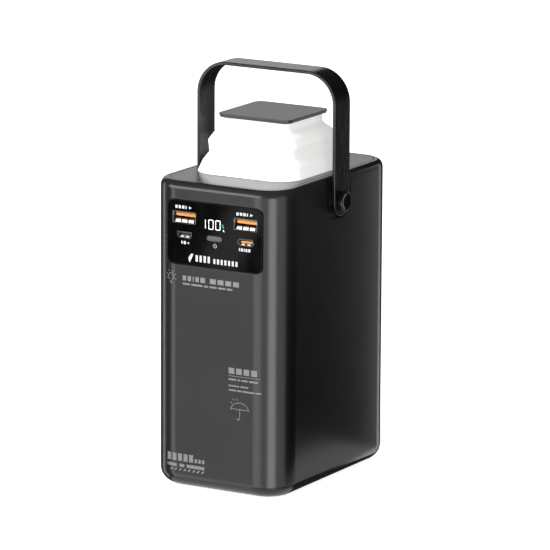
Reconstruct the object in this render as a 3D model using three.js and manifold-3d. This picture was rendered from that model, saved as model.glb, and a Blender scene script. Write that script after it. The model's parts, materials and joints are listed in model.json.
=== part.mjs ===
// Outdoor power bank: a tall box of eight pouch cells with a port panel on the front, a
// camping lamp on the top and a carrying handle that swings about two side pivots.
// Millimetres, +Z up, front towards -Y. The origin is under the middle of the four feet.

import * as THREE from 'three';
import { mergeVertices } from 'three/addons/utils/BufferGeometryUtils.js';
import Module from 'manifold-3d';

const wasm = await Module();
wasm.setup();

// ---------------------------------------------------------------- driving dimensions

const GAP = 0.3;                  // clearance between neighbouring pieces
const BITE = 0.4;                 // joined solids run this far into each other
const PAST = 1;                   // a cutting solid runs this far past the face it opens
const WELD = 1e-4;                // vertices closer than this become one

// body
const BODY_W = 75.8;              // along X
const BODY_D = 112.9;             // along Y
const BODY_TOP = 156;
const BODY_BOTTOM = 0.8;          // the rubber feet lift the body this far
const BODY_R = 16;                // upright corners
const WALL = 2.4;
const BOTTOM_ROUND = 7.9;
const INNER_ROUND = 1.5;          // lower edge of the space inside
const TOP_ROUND_IN = 3.1;         // the top edge rounds this far inwards
const TOP_ROUND_DOWN = 4.3;       // and this far down

// top and bottom covers
const TOP_COVER = { halfX: 33.4, halfY: 51.9, r: 11.8, thick: 2.4 };
const TOP_LEDGE = 2.6;            // width of the rim that carries the top cover
const BOTTOM_COVER = { halfX: 27.5, halfY: 46, r: 7, thick: 2 };
const BOTTOM_LEDGE = 2.6;
const BOTTOM_LEDGE_THICK = 3.4;
const BOTTOM_SCREW = { x: 23.4, y: 26, tab: 3.8, shank: 1.1, head: 2.1, headThick: 1.2, sink: 0.1 };
const SCREW_CROSS = { halfLong: 1.4, halfWide: 0.3, deep: 0.6 };
const FOOT = { x: 19.5, y: 38.5, r: 4.5, thick: 1.4, chamfer: 0.5 };

// control panel on the front face
const PANEL = { halfX: 27.1, low: 114.9, high: 146.8, r: 3.1, thick: 1.6, sink: 0.25 };
const PANEL_LEDGE = 2.5;
const PANEL_FRAME = { wider: 1.9, back: 4.2 };  // the thickened front wall behind the panel
const PORT_SINK = 0.2;            // the port mouths stand this far behind the panel's face

// each port's can, and the tongue inside it as distances from the can's mouth and middle
const USB_A = {
  x: 17.5, z: 138.3, w: 13.1, h: 5.7, wall: 0.3, r: 0.5, depth: 12,
  tongue: { halfW: 5.5, start: 1.6, low: 0.35, high: 2.15, blockShare: 1 },
};
const USB_C = {
  x: 17.7, z: 129.5, w: 8.94, h: 3.26, wall: 0.34, r: 1.6, depth: 6.5,
  tongue: { halfW: 3.2, start: 0.9, low: -0.35, high: 0.35, blockShare: 0.75 },
};
const MICRO_USB = {
  x: -17.3, z: 129.5, w: 7.9, h: 2.8, wall: 0.34, lowerShare: 0.8, depth: 6.5,
  tongue: { halfW: 2.3, start: 0.8, low: -0.1, high: 0.5, blockShare: 0.7 },
};
const TONGUE_BLOCK = 1.6;         // thickness of the block at the back of each can

const BUTTON = {
  x: 0, z: 129.4, halfW: 4.4, halfH: 1.35, proud: 0.4, travel: 0.5,
  flange: { wider: 1.2, higher: 1, r: 1.5, thick: 1 }, stemR: 1.2,
};
const SWITCH = { half: 3, thick: 3.5, plungerR: 1.5, plungerOut: 1.7 };
const DISPLAY = { x: 0.4, z: 137.2, halfW: 8.5, halfH: 4.4, r: 0.4, cover: 0.8, thick: 4.7 };
const DISPLAY_PINS = { count: 5, pitch: 3, half: 0.3, above: 2.5 };

// main board behind the panel
const BOARD = { halfX: 26, low: 121.6, high: 149, front: -40.5, thick: 1.6 };
const CHIPS = [
  { x: 0, z: 128, half: 4, high: 1.2 },
  { x: -21.9, z: 142.5, half: 2.5, high: 1 },
  { x: 21.9, z: 130.5, half: 2.5, high: 1 },
];
const COIL = { x: -11.5, z: 131, half: 6.4, r: 1.4, high: 6.8 };
const CAPACITOR = { x: 10.5, lowerZ: 130.5, upperZ: 140.5, r: 4, crimpR: 3.6, high: 12, crimp: 0.5 };

// cells
const CELL = { w: 60, t: 12, h: 110, count: 8, low: 8.8, r: 1.6, seal: 3, seamHalf: 0.5 };
const CELL_PITCH = CELL.t + GAP;
const STACK_HALF = (CELL_PITCH * CELL.count - GAP) / 2;
const TRAY_WALL = 1.2;
const TRAY_LOW = 7.2;
const TRAY_HIGH = 9;              // how far the tray holds the cells from below
const CLAMP_HIGH = 7;             // how far the clamp reaches down over them
const TAB_X = 15;                 // the cell tabs stand this far to each side
const TAB = { halfW: 3, halfT: 0.4 };
const TAB_WINDOW = { halfW: 5, margin: 3 };
const BUS = { w: 8, t: 0.8, margin: 5 };
const POWER_LEAD = { x: 20.5, r: 1.1, startY: -24, leanY: -24.5, turnY: -30, lean: 3, run: 5 };
const LAMP_LEAD = { r: 1.3, hole: 2.6, dropZ: 152, bendY: -8, bendZ: 145, runY: -24, runZ: 143 };

// lamp: the diffuser's outer sections go from the base (share 1) to the neck (share 0)
const LAMP_BASE = { halfX: 29.3, halfY: 33.3, r: 13 };
const LAMP_NECK = { halfX: 18.6, halfY: 18.9, r: 4.6 };
const LAMP_WALL = 2;
const LAMP_PROFILE = [
  [156.3, 1.0],
  [161.5, 0.81],
  [165.3, 0.57],
  [166.4, 0.58],
  [171.4, 0.62],
  [175.2, 0.39],
  [177.0, 0.17],
  [179.0, 0.05],
  [182.4, 0.03],
];
const LAMP_CAP = {
  halfX: 20.9, halfY: 20.7, r: 4.4, thick: 1.9, top: 184.6, chamfer: 0.4, pegR: 4, pegDeep: 3,
};
const LAMP_PLATE = { halfX: 24.8, halfY: 28.6, r: 9, low: 156.3, thick: 1.8 };
const LAMP_BOARD = { halfX: 14, halfY: 16, r: 2, thick: 1.4 };
const LED = { x: 8, y: 9.5, half: 2.5, thick: 1.4, chipShare: 0.6, lensShare: 0.75 };

// handle and its pivots
const PIVOT_Z = 143;
const STRAP_W = 14.8;
const STRAP_T = 1.7;
const STRAP_TOP = 208;
const STRAP_BEND = 16.6;          // outer bend radius
const STRAP_OUT = BODY_W / 2 + GAP + STRAP_T;
const STRAP_BEVEL = 0.35;
const LEG_SLACK = 0.01;           // keeps the rounded leg end off the strap's own edges
const RECESS = { depth: 1.5, halfW: 12.2, below: 9, r: 9 };
const PIVOT_HOLE_R = 2.3;
const SPACER_R = 4.6;
const PIVOT_SCREW = {
  shank: 1.95, head: 3.4, headThick: 1.2, headChamfer: 0.3, tip: 31, tipIn: 0.6, tipLong: 0.8,
};
const PIVOT_CAP = {
  r: 5, thick: 2.3, pocket: 3.75, floor: 0.75, roundStart: 0.7, roundMid: 0.25, roundIn: 0.8,
};
const PIVOT_BOSS = { halfY: 6.5, low: 136.5, high: 149.5, inner: 29, endWall: 1 };

// ---------------------------------------------------------------- materials

function material(color, roughness, metalness = 0) {
  return new THREE.MeshStandardMaterial({ color, roughness, metalness });
}

const COLOURS = {
  caseBlack: () => material(0x2b2c2f, 0.42),
  coverGrey: () => material(0x3a3b3f, 0.4),
  panelBlack: () => material(0x0a0a0c, 0.08),
  steel: () => material(0xc8c9cc, 0.3, 1),
  orange: () => material(0xeb9646, 0.5),
  buttonGrey: () => material(0x575c5a, 0.5),
  boardGreen: () => material(0x14502f, 0.6),
  chipBlack: () => material(0x16161a, 0.5),
  ferrite: () => material(0x3c3c40, 0.75),
  aluminium: () => material(0xb9bcc0, 0.4, 1),
  pouchSilver: () => material(0xb4b8bd, 0.35, 0.9),
  nickel: () => material(0xc9c3b3, 0.35, 1),
  red: () => material(0xa41414, 0.5),
  black: () => material(0x121212, 0.6),
  white: () => material(0xf2f2ee, 0.5),
  lampWhite: () => material(0xfbfbf8, 0.35),
  yellowLed: () => material(0xf2dc7a, 0.4),
  strapGrey: () => material(0x4a4b4e, 0.38, 0.6),
  rubber: () => material(0x1a1a1b, 0.9),
  nylon: () => material(0xd8d6cc, 0.6),
};

// ---------------------------------------------------------------- solids and meshes

function toSolid(geometry) {
  const bare = geometry.index ? geometry.toNonIndexed() : geometry;
  bare.deleteAttribute('normal');
  bare.deleteAttribute('uv');
  const merged = mergeVertices(bare, WELD);
  const vertProperties = new Float32Array(merged.attributes.position.array);
  const triVerts = new Uint32Array(merged.index.array);
  return new wasm.Manifold(new wasm.Mesh({ numProp: 3, vertProperties, triVerts }));
}

function toGeometry(solid) {
  const mesh = solid.getMesh();
  const geometry = new THREE.BufferGeometry();
  geometry.setAttribute('position', new THREE.BufferAttribute(mesh.vertProperties, 3));
  geometry.setIndex(new THREE.BufferAttribute(mesh.triVerts, 1));
  geometry.computeVertexNormals();
  return geometry;
}

function node(name, solid, colour) {
  const mesh = new THREE.Mesh(toGeometry(solid), COLOURS[colour]());
  mesh.name = name;
  return mesh;
}

function box(x0, x1, y0, y1, z0, z1) {
  const geometry = new THREE.BoxGeometry(x1 - x0, y1 - y0, z1 - z0);
  geometry.translate((x0 + x1) / 2, (y0 + y1) / 2, (z0 + z1) / 2);
  return toSolid(geometry);
}

// a cylinder from a to b along the axis 'x', 'y' or 'z', centred on the two other coordinates
function rod(axis, r, a, b, u = 0, v = 0, sides = 24) {
  const geometry = new THREE.CylinderGeometry(r, r, b - a, sides);
  if (axis === 'x') geometry.rotateZ(Math.PI / 2).translate((a + b) / 2, u, v);
  if (axis === 'y') geometry.translate(u, (a + b) / 2, v);
  if (axis === 'z') geometry.rotateX(Math.PI / 2).translate(u, v, (a + b) / 2);
  return toSolid(geometry);
}

function roundedRect(halfW, halfH, r, u = 0, v = 0) {
  const shape = new THREE.Shape();
  shape.absarc(u + halfW - r, v + halfH - r, r, 0, Math.PI / 2);
  shape.absarc(u - halfW + r, v + halfH - r, r, Math.PI / 2, Math.PI);
  shape.absarc(u - halfW + r, v - halfH + r, r, Math.PI, Math.PI * 1.5);
  shape.absarc(u + halfW - r, v - halfH + r, r, Math.PI * 1.5, Math.PI * 2);
  shape.closePath();
  return shape;
}

// extrudes a shape: its plane is 'xy', 'xz' or 'yz', and low..high is along the third axis
function prism(plane, shape, low, high, curveSegments = 5) {
  const depth = high - low;
  const geometry = new THREE.ExtrudeGeometry(shape, { depth, curveSegments, bevelEnabled: false });
  geometry.translate(0, 0, low);
  const [x, y, z] = [[1, 0, 0], [0, 1, 0], [0, 0, 1]].map((axis) => new THREE.Vector3(...axis));
  if (plane === 'yz') geometry.applyMatrix4(new THREE.Matrix4().makeBasis(y, z, x));
  if (plane === 'xz') {
    geometry.translate(0, 0, -low - high);
    geometry.applyMatrix4(new THREE.Matrix4().makeBasis(x, z, y.negate()));
  }
  return toSolid(geometry);
}

// one closed ring of a rounded rectangle at height z
function ring({ halfX, halfY, r, z }, steps) {
  const points = [];
  for (let corner = 0; corner < 4; corner += 1) {
    const centreX = (corner === 0 || corner === 3 ? 1 : -1) * (halfX - r);
    const centreY = (corner < 2 ? 1 : -1) * (halfY - r);
    for (let i = 0; i <= steps; i += 1) {
      const angle = (corner + i / steps) * (Math.PI / 2);
      points.push(centreX + r * Math.cos(angle), centreY + r * Math.sin(angle), z);
    }
  }
  return points;
}

// a closed skin through rounded-rectangle sections, from the lowest to the highest
function loft(sections, steps = 7) {
  const perRing = 4 * (steps + 1);
  const positions = sections.flatMap((section) => ring(section, steps));
  const lowCentre = positions.length / 3;
  const highCentre = lowCentre + 1;
  positions.push(0, 0, sections[0].z, 0, 0, sections.at(-1).z);
  const index = [];
  for (let i = 0; i < perRing; i += 1) {
    const j = (i + 1) % perRing;
    for (let level = 0; level + 1 < sections.length; level += 1) {
      const low = level * perRing;
      const high = low + perRing;
      index.push(low + i, low + j, high + j, low + i, high + j, high + i);
    }
    const last = (sections.length - 1) * perRing;
    index.push(lowCentre, j, i, highCentre, last + i, last + j);
  }
  const geometry = new THREE.BufferGeometry();
  geometry.setAttribute('position', new THREE.Float32BufferAttribute(positions, 3));
  geometry.setIndex(index);
  return toSolid(geometry);
}

// a straight plate with rounded upright corners
function plate({ halfX, halfY, r }, low, high, steps = 6) {
  return loft([{ halfX, halfY, r, z: low }, { halfX, halfY, r, z: high }], steps);
}

// the rounded box's sections: quarter ellipses at the bottom and the top edges
function roundedBoxSections(halfX, halfY, r, low, high, bottom, top) {
  const sections = [];
  for (let i = 0; i <= bottom.steps; i += 1) {
    const a = (i / bottom.steps) * (Math.PI / 2);
    const inset = bottom.inward * (1 - Math.sin(a));
    const z = low + bottom.up * (1 - Math.cos(a));
    sections.push({ halfX: halfX - inset, halfY: halfY - inset, r: r - inset, z });
  }
  for (let i = top.steps; i >= 0; i -= 1) {
    const a = (i / top.steps) * (Math.PI / 2);
    const inset = top.inward * (1 - Math.sin(a));
    const z = high - top.up * (1 - Math.cos(a));
    sections.push({ halfX: halfX - inset, halfY: halfY - inset, r: r - inset, z });
  }
  return sections;
}

function joined(solids) {
  return solids.reduce((whole, solid) => whole.add(solid));
}

function cut(solid, ...tools) {
  return tools.reduce((rest, tool) => rest.subtract(tool), solid);
}

// a round wire along a smooth path
function wire(points, r, steps) {
  const section = new THREE.Shape().absarc(0, 0, r, 0, Math.PI * 2);
  const path = new THREE.CatmullRomCurve3(points.map((p) => new THREE.Vector3(...p)));
  const options = { extrudePath: path, steps, curveSegments: 4 };
  return toSolid(new THREE.ExtrudeGeometry(section, options));
}

// ---------------------------------------------------------------- body shells

const HALF_W = BODY_W / 2;
const FRONT = -BODY_D / 2;
const PANEL_FACE = FRONT + PANEL.sink;
const PANEL_BACK = PANEL_FACE + PANEL.thick;
const PANEL_MID = (PANEL.low + PANEL.high) / 2;
const PANEL_HALF_H = (PANEL.high - PANEL.low) / 2;
const RECESS_FLOOR = HALF_W - RECESS.depth;
const TOP_COVER_LOW = BODY_TOP - TOP_COVER.thick;
const BOTTOM_COVER_TOP = BODY_BOTTOM + BOTTOM_COVER.thick;
const LEDGE_TOP = BOTTOM_COVER_TOP + GAP + BOTTOM_LEDGE_THICK;

function grown({ halfX, halfY, r }, by) {
  return { halfX: halfX + by, halfY: halfY + by, r: r + by };
}

function panelOutline(by) {
  return roundedRect(PANEL.halfX + by, PANEL_HALF_H + by, PANEL.r + by, 0, PANEL_MID);
}

// the U-shaped hollow around each handle leg: round below, open through the top edge
function recessOutline() {
  const { halfW, below, r } = RECESS;
  const low = PIVOT_Z - below;
  const shape = new THREE.Shape();
  shape.moveTo(halfW, BODY_TOP + PAST);
  shape.lineTo(-halfW, BODY_TOP + PAST);
  shape.absarc(-halfW + r, low + r, r, Math.PI, Math.PI * 1.5);
  shape.absarc(halfW - r, low + r, r, Math.PI * 1.5, Math.PI * 2);
  shape.closePath();
  return shape;
}

function bottomScrewPlaces() {
  const { x, y } = BOTTOM_SCREW;
  return [[x, y], [-x, y], [-x, -y], [x, -y]];
}

function mainCase() {
  const bottom = { inward: BOTTOM_ROUND, up: BOTTOM_ROUND, steps: 5 };
  const top = { inward: TOP_ROUND_IN, up: TOP_ROUND_DOWN, steps: 4 };
  const outside = roundedBoxSections(HALF_W, BODY_D / 2, BODY_R, BODY_BOTTOM, BODY_TOP, bottom, top);
  const innerRound = { inward: INNER_ROUND, up: INNER_ROUND, steps: 2 };
  const square = { inward: 0, up: 0, steps: 1 };
  const cavityTop = TOP_COVER_LOW - GAP - WALL;
  const inside = roundedBoxSections(
    HALF_W - WALL, BODY_D / 2 - WALL, BODY_R - WALL, LEDGE_TOP, cavityTop, innerRound, square,
  ).filter((section, i, all) => i === 0 || section.z > all[i - 1].z);

  let shell = cut(
    loft(outside),
    loft(inside, 5),
    plate(grown(TOP_COVER, -TOP_LEDGE), cavityTop - PAST, BODY_TOP + PAST),
    plate(grown(TOP_COVER, GAP), TOP_COVER_LOW - GAP, BODY_TOP + PAST),
    plate(grown(BOTTOM_COVER, -BOTTOM_LEDGE), BODY_BOTTOM - PAST, LEDGE_TOP + PAST),
    plate(grown(BOTTOM_COVER, GAP), BODY_BOTTOM - PAST, BOTTOM_COVER_TOP + GAP),
  );

  // tabs that take the bottom cover's screws
  for (const [x, y] of bottomScrewPlaces()) {
    const tab = rod('z', BOTTOM_SCREW.tab, BOTTOM_COVER_TOP + GAP, LEDGE_TOP, x, y);
    const bore = rod('z', BOTTOM_SCREW.shank + GAP, BODY_BOTTOM, LEDGE_TOP + PAST, x, y, 16);
    shell = cut(shell.add(tab), bore);
  }

  // thickened front wall with the pocket and the window for the control panel
  const frameBack = FRONT + PANEL_FRAME.back;
  const frame = prism('xz', panelOutline(PANEL_FRAME.wider), FRONT + WALL - BITE, frameBack);
  shell = cut(
    shell.add(frame),
    prism('xz', panelOutline(GAP), FRONT - PAST, PANEL_BACK + GAP),
    prism('xz', panelOutline(-PANEL_LEDGE), FRONT - PAST, frameBack + PAST),
  );

  // handle recesses, with a boss inside the wall for each pivot screw
  for (const side of [1, -1]) {
    const span = (a, b) => (side > 0 ? [a, b] : [-b, -a]);
    const { halfY, low, high, inner } = PIVOT_BOSS;
    const boss = box(...span(inner, HALF_W - WALL + BITE), -halfY, halfY, low, high);
    const recess = prism('yz', recessOutline(), ...span(RECESS_FLOOR, HALF_W + PAST));
    const bore = rod('x', PIVOT_HOLE_R, ...span(inner + PIVOT_BOSS.endWall, HALF_W), 0, PIVOT_Z);
    shell = cut(shell.add(boss), recess, bore);
  }
  return node('main_case', shell, 'caseBlack');
}

function topCover() {
  const wireHole = rod('z', LAMP_LEAD.hole, TOP_COVER_LOW - PAST, BODY_TOP + PAST);
  const cover = cut(plate(TOP_COVER, TOP_COVER_LOW, BODY_TOP, 7), wireHole);
  return node('top_cover', cover, 'coverGrey');
}

function bottomCover() {
  let cover = plate(BOTTOM_COVER, BODY_BOTTOM, BOTTOM_COVER_TOP);
  for (const x of [FOOT.x, -FOOT.x]) {
    for (const y of [FOOT.y, -FOOT.y]) {
      cover = cut(cover, rod('z', FOOT.r + GAP, 0, FOOT.thick + GAP, x, y));
    }
  }
  const { shank, head, headThick } = BOTTOM_SCREW;
  for (const [x, y] of bottomScrewPlaces()) {
    cover = cut(
      cover,
      rod('z', shank + GAP, 0, BOTTOM_COVER_TOP + PAST, x, y, 16),
      rod('z', head + GAP, 0, BODY_BOTTOM + headThick + GAP, x, y, 16),
    );
  }
  return node('bottom_cover', cover, 'coverGrey');
}

function bottomScrews() {
  const { shank, head, headThick, sink } = BOTTOM_SCREW;
  const { halfLong, halfWide, deep } = SCREW_CROSS;
  const headLow = BODY_BOTTOM + sink;
  return bottomScrewPlaces().map(([x, y], i) => {
    const screw = cut(
      rod('z', head, headLow, headLow + headThick, 0, 0, 16)
        .add(rod('z', shank, headLow, LEDGE_TOP, 0, 0, 12)),
      box(-halfLong, halfLong, -halfWide, halfWide, 0, headLow + deep),
      box(-halfWide, halfWide, -halfLong, halfLong, 0, headLow + deep),
    );
    const mesh = node(`bottom_screw_${i + 1}`, screw, 'steel');
    mesh.position.set(x, y, 0);
    return mesh;
  });
}

function feet() {
  const { r, thick, chamfer } = FOOT;
  const profile = [[0, 0], [r - chamfer, 0], [r, chamfer], [r, thick], [0, thick]];
  const lathe = () => new THREE.LatheGeometry(profile.map((p) => new THREE.Vector2(...p)), 24);
  const places = [[1, 1], [-1, 1], [-1, -1], [1, -1]];
  return places.map(([sx, sy], i) => {
    const foot = toSolid(lathe().rotateX(Math.PI / 2));
    const mesh = node(`rubber_foot_${i + 1}`, foot, 'rubber');
    mesh.position.set(sx * FOOT.x, sy * FOOT.y, 0);
    return mesh;
  });
}

// ---------------------------------------------------------------- control panel and ports

function portOutline(port, by) {
  const w = port.w / 2 + by;
  const h = port.h / 2 + by;
  if (port.r) return roundedRect(w, h, port.r + by, port.x, port.z);
  // the micro port is flat above and narrower below
  const shape = new THREE.Shape();
  shape.moveTo(port.x - w, port.z + h);
  shape.lineTo(port.x - w, port.z);
  shape.lineTo(port.x - w * port.lowerShare, port.z - h);
  shape.lineTo(port.x + w * port.lowerShare, port.z - h);
  shape.lineTo(port.x + w, port.z);
  shape.lineTo(port.x + w, port.z + h);
  shape.closePath();
  return shape;
}

const PORTS = [
  { ...USB_A, x: -USB_A.x, name: 'usb_a_left', colour: 'orange' },
  { ...USB_A, name: 'usb_a_right', colour: 'orange' },
  { ...USB_C, name: 'usb_c', colour: 'orange' },
  { ...MICRO_USB, name: 'micro_usb', colour: 'black' },
];

function displayOutline(by) {
  const { x, z, halfW, halfH, r } = DISPLAY;
  return roundedRect(halfW + by, halfH + by, r + by, x, z);
}

function controlPanel() {
  const { x, z, halfW, halfH } = BUTTON;
  const slot = roundedRect(halfW + GAP, halfH + GAP, halfH + GAP, x, z);
  const displayPocket = displayOutline(GAP);
  const panel = cut(
    prism('xz', panelOutline(0), PANEL_FACE, PANEL_BACK, 7),
    ...PORTS.map((port) => prism('xz', portOutline(port, GAP), FRONT - PAST, PANEL_BACK + PAST, 4)),
    prism('xz', slot, FRONT - PAST, PANEL_BACK + PAST),
    prism('xz', displayPocket, PANEL_FACE + DISPLAY.cover, PANEL_BACK + PAST, 3),
  );
  return node('control_panel', panel, 'panelBlack');
}

const PORT_MOUTH = PANEL_FACE + PORT_SINK;
const PORT_BACK = BOARD.front - GAP;

// a metal can, open at the front, closed at the board
function portShell(port) {
  const shell = cut(
    prism('xz', portOutline(port, 0), PORT_MOUTH, PORT_BACK, 4),
    prism('xz', portOutline(port, -port.wall), PORT_MOUTH - PAST, PORT_MOUTH + port.depth, 4),
  );
  return node(`${port.name}_shell`, shell, 'steel');
}

// the plastic insert inside a can: a block at the back that carries the contact tongue
function portTongue(port) {
  const { halfW, start, low, high, blockShare } = port.tongue;
  const w = (port.w / 2 - port.wall - GAP) * blockShare;
  const h = port.h / 2 - port.wall - GAP;
  const back = PORT_MOUTH + port.depth - GAP;
  const front = back - TONGUE_BLOCK;
  const block = box(port.x - w, port.x + w, front, back, port.z - h, port.z + h);
  const tongue = box(
    port.x - halfW, port.x + halfW, PORT_MOUTH + start, front + BITE, port.z + low, port.z + high,
  );
  return node(`${port.name}_tongue`, block.add(tongue), port.colour);
}

function ports() {
  return PORTS.flatMap((port) => [portShell(port), portTongue(port)]);
}

const SWITCH_FRONT = BOARD.front - GAP - SWITCH.thick;
const PLUNGER_TIP = SWITCH_FRONT - SWITCH.plungerOut;

// the button's stem reaches the switch's plunger, less the button's travel
function powerButton() {
  const { x, z, halfW, halfH, proud, travel, flange, stemR } = BUTTON;
  const flangeFront = PANEL_BACK + GAP;
  const flangeBack = flangeFront + flange.thick;
  const flangeOutline = roundedRect(halfW + flange.wider, halfH + flange.higher, flange.r, x, z);
  const button = joined([
    prism('xz', roundedRect(halfW, halfH, halfH, x, z), PANEL_FACE - proud, flangeBack - BITE),
    prism('xz', flangeOutline, flangeFront, flangeBack),
    rod('y', stemR, flangeBack - BITE, PLUNGER_TIP - travel - GAP, x, z, 16),
  ]);
  return node('power_button', button, 'buttonGrey');
}

function buttonSwitch() {
  const { x, z } = BUTTON;
  const { half, plungerR } = SWITCH;
  const body = box(x - half, x + half, SWITCH_FRONT, BOARD.front - GAP, z - half, z + half);
  const plunger = rod('y', plungerR, PLUNGER_TIP, SWITCH_FRONT + BITE, x, z, 16);
  return node('button_switch', body.add(plunger), 'chipBlack');
}

function displayModule() {
  const { x, z, cover, thick } = DISPLAY;
  const { count, pitch, half, above } = DISPLAY_PINS;
  const front = PANEL_FACE + cover + GAP;
  const back = front + thick;
  const glass = prism('xz', displayOutline(0), front, back, 2);
  const pins = Array.from({ length: count }, (_, i) => {
    const pinX = x + (i - (count - 1) / 2) * pitch;
    const pinZ = z + above;
    return box(pinX - half, pinX + half, back - BITE, BOARD.front - GAP, pinZ - half, pinZ + half);
  });
  return node('display_module', joined([glass, ...pins]), 'chipBlack');
}

const BOARD_BACK = BOARD.front + BOARD.thick;

function mainBoard() {
  const { halfX, low, high, front } = BOARD;
  const board = box(-halfX, halfX, front, BOARD_BACK, low, high);
  const chips = CHIPS.map((chip) => box(
    chip.x - chip.half, chip.x + chip.half, BOARD_BACK - BITE, BOARD_BACK + chip.high,
    chip.z - chip.half, chip.z + chip.half,
  ));
  return node('main_board', joined([board, ...chips]), 'boardGreen');
}

function boardParts() {
  const start = BOARD_BACK + GAP;
  const coilOutline = roundedRect(COIL.half, COIL.half, COIL.r, COIL.x, COIL.z);
  const coil = prism('xz', coilOutline, start, start + COIL.high, 3);
  const { x, lowerZ, upperZ, r, crimpR, high, crimp } = CAPACITOR;
  const capacitor = (z) => {
    const can = rod('y', r, start, start + high - crimp, x, z, 20);
    return can.add(rod('y', crimpR, start + high - crimp - BITE, start + high, x, z, 20));
  };
  return [
    node('inductor', coil, 'ferrite'),
    node('capacitor_lower', capacitor(lowerZ), 'aluminium'),
    node('capacitor_upper', capacitor(upperZ), 'aluminium'),
  ];
}

// ---------------------------------------------------------------- cells and wiring

function cells() {
  const { w, t, h, low, r, seal, seamHalf } = CELL;
  return Array.from({ length: CELL.count }, (_, i) => {
    const y = (i - (CELL.count - 1) / 2) * CELL_PITCH;
    const pouch = prism('xy', roundedRect(w / 2, t / 2, r), low + seal, low + h - seal, 3);
    const seam = box(r - w / 2, w / 2 - r, -seamHalf, seamHalf, low, low + h);
    const mesh = node(`cell_${i + 1}`, pouch.add(seam), 'pouchSilver');
    mesh.position.y = y;
    return mesh;
  });
}

const TRAY_INSIDE = { halfX: CELL.w / 2 + GAP, halfY: STACK_HALF + GAP, r: 1.2 };
const CELL_TOP = CELL.low + CELL.h;
const CLAMP_TOP = CELL_TOP + GAP + TRAY_WALL;

function cellTrays() {
  const outside = grown(TRAY_INSIDE, TRAY_WALL);
  const floor = CELL.low - GAP;
  const tray = cut(
    plate(outside, TRAY_LOW, TRAY_LOW + TRAY_HIGH, 3),
    plate(TRAY_INSIDE, floor, TRAY_LOW + TRAY_HIGH + PAST, 3),
  );
  const { halfW, margin } = TAB_WINDOW;
  const halfY = STACK_HALF - margin;
  const window = (x) => box(x - halfW, x + halfW, -halfY, halfY, CELL_TOP - PAST, CLAMP_TOP + PAST);
  const clamp = cut(
    plate(outside, CELL_TOP - CLAMP_HIGH, CLAMP_TOP, 3),
    plate(TRAY_INSIDE, CELL_TOP - CLAMP_HIGH - PAST, CELL_TOP + GAP, 3),
    window(TAB_X),
    window(-TAB_X),
  );
  return [node('cell_tray', tray, 'black'), node('cell_clamp', clamp, 'black')];
}

// one strip that joins the tabs of every cell on its side
function busStrip(name, x) {
  const half = STACK_HALF - BUS.margin;
  const low = CLAMP_TOP + GAP;
  const strip = box(x - BUS.w / 2, x + BUS.w / 2, -half, half, low, low + BUS.t);
  const tabs = Array.from({ length: CELL.count }, (_, i) => {
    const y = (i - (CELL.count - 1) / 2) * CELL_PITCH;
    return box(x - TAB.halfW, x + TAB.halfW, y - TAB.halfT, y + TAB.halfT, CELL_TOP + GAP, low + BITE);
  });
  return node(name, joined([strip, ...tabs]), 'nickel');
}

function leads() {
  const busTop = CLAMP_TOP + GAP + BUS.t;
  const boardY = BOARD_BACK + GAP;
  const { startY, leanY, turnY, lean, run } = POWER_LEAD;
  const lead = (x, name, colour) => {
    const route = [
      [x, startY, busTop + GAP],
      [x, leanY, busTop + lean],
      [x, turnY, busTop + run],
      [x, boardY, busTop + run],
    ];
    return node(name, wire(route, POWER_LEAD.r, 14), colour);
  };
  const { dropZ, bendY, bendZ, runY, runZ } = LAMP_LEAD;
  const lampRoute = [
    [0, 0, LAMP_PLATE.low + LAMP_PLATE.thick],
    [0, 0, dropZ],
    [0, bendY, bendZ],
    [0, runY, runZ],
    [0, boardY, runZ],
  ];
  return [
    lead(POWER_LEAD.x, 'lead_positive', 'red'),
    lead(-POWER_LEAD.x, 'lead_negative', 'black'),
    node('lamp_lead', wire(lampRoute, LAMP_LEAD.r, 20), 'white'),
  ];
}

// ---------------------------------------------------------------- lamp

function lampSection(z, share, inset) {
  const between = (key) => LAMP_NECK[key] + (LAMP_BASE[key] - LAMP_NECK[key]) * share;
  return {
    halfX: between('halfX') - inset,
    halfY: between('halfY') - inset,
    r: between('r') - inset,
    z,
  };
}

function lampDiffuser() {
  const outside = LAMP_PROFILE.map(([z, share]) => lampSection(z, share, 0));
  const roof = LAMP_PROFILE.at(-1)[0] - LAMP_WALL;
  const kept = LAMP_PROFILE.filter(([z]) => z < roof - PAST);
  const inside = kept.map(([z, share]) => lampSection(z, share, LAMP_WALL));
  inside[0].z -= PAST;
  inside.push({ ...inside.at(-1), z: roof });
  const pegHole = rod('z', LAMP_CAP.pegR + GAP, roof - PAST, LAMP_CAP.top);
  return node('lamp_diffuser', cut(loft(outside, 6), loft(inside, 5), pegHole), 'lampWhite');
}

function lampCap() {
  const { thick, top, chamfer, pegR, pegDeep } = LAMP_CAP;
  const low = top - thick;
  const disc = loft([
    { ...grown(LAMP_CAP, -chamfer), z: low },
    { ...grown(LAMP_CAP, 0), z: low + chamfer },
    { ...grown(LAMP_CAP, 0), z: top - chamfer },
    { ...grown(LAMP_CAP, -chamfer), z: top },
  ], 5);
  return node('lamp_cap', disc.add(rod('z', pegR, low - pegDeep, low + BITE)), 'coverGrey');
}

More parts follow.
